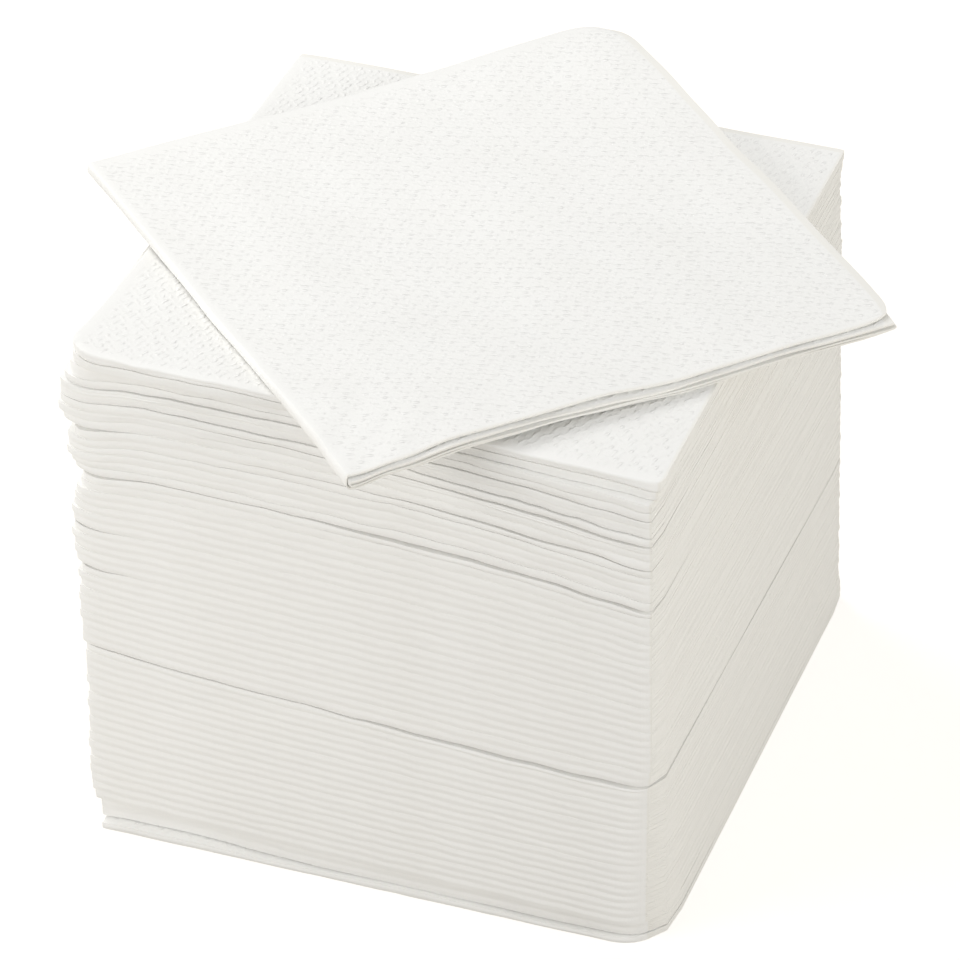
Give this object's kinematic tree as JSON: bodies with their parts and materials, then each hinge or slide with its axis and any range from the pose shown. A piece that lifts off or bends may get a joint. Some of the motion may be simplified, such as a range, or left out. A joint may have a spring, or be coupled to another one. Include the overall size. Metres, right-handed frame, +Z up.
{
  "type": "stack of paper napkins",
  "caption": "Square stack of quarter-folded white embossed paper napkins, pressed into slightly offset bundles, with a last napkin turned askew on top.",
  "frame": {"origin": "middle of the lowest napkin's underside, on the surface that the stack stands on", "axes": "+Z up through the stack, +X from the folded crease side to the open side, +Y from the folded spine side to the far open side"},
  "size_m": [0.2327, 0.2331, 0.1693],
  "materials": {
    "tissue": "matte, dot-embossed soft tissue, warm white"
  },
  "bodies": {
    "root": {"napkin_01": "tissue", "napkin_02": "tissue", "napkin_03": "tissue", "napkin_04": "tissue", "napkin_05": "tissue", "napkin_06": "tissue", "napkin_07": "tissue", "napkin_08": "tissue", "napkin_09": "tissue", "napkin_10": "tissue", "napkin_11": "tissue", "napkin_12": "tissue", "napkin_13": "tissue", "napkin_14": "tissue", "napkin_15": "tissue", "napkin_16": "tissue", "napkin_17": "tissue", "napkin_18": "tissue", "napkin_19": "tissue", "napkin_20": "tissue", "napkin_21": "tissue", "napkin_22": "tissue", "napkin_23": "tissue", "napkin_24": "tissue", "napkin_25": "tissue", "napkin_26": "tissue", "napkin_27": "tissue", "napkin_28": "tissue", "napkin_29": "tissue", "napkin_30": "tissue", "napkin_31": "tissue", "napkin_32": "tissue", "napkin_33": "tissue", "napkin_34": "tissue", "napkin_35": "tissue", "napkin_36": "tissue", "napkin_37": "tissue", "napkin_38": "tissue", "napkin_39": "tissue", "napkin_40": "tissue", "napkin_41": "tissue", "napkin_42": "tissue", "napkin_43": "tissue", "napkin_44": "tissue", "napkin_45": "tissue", "napkin_46": "tissue", "napkin_47": "tissue", "napkin_48": "tissue", "napkin_49": "tissue", "napkin_50": "tissue", "napkin_51": "tissue", "napkin_52": "tissue", "napkin_53": "tissue", "napkin_54": "tissue", "napkin_55": "tissue", "napkin_56": "tissue", "napkin_57": "tissue", "napkin_58": "tissue", "napkin_59": "tissue", "turned_napkin": "tissue"}
  },
  "joints": []
}
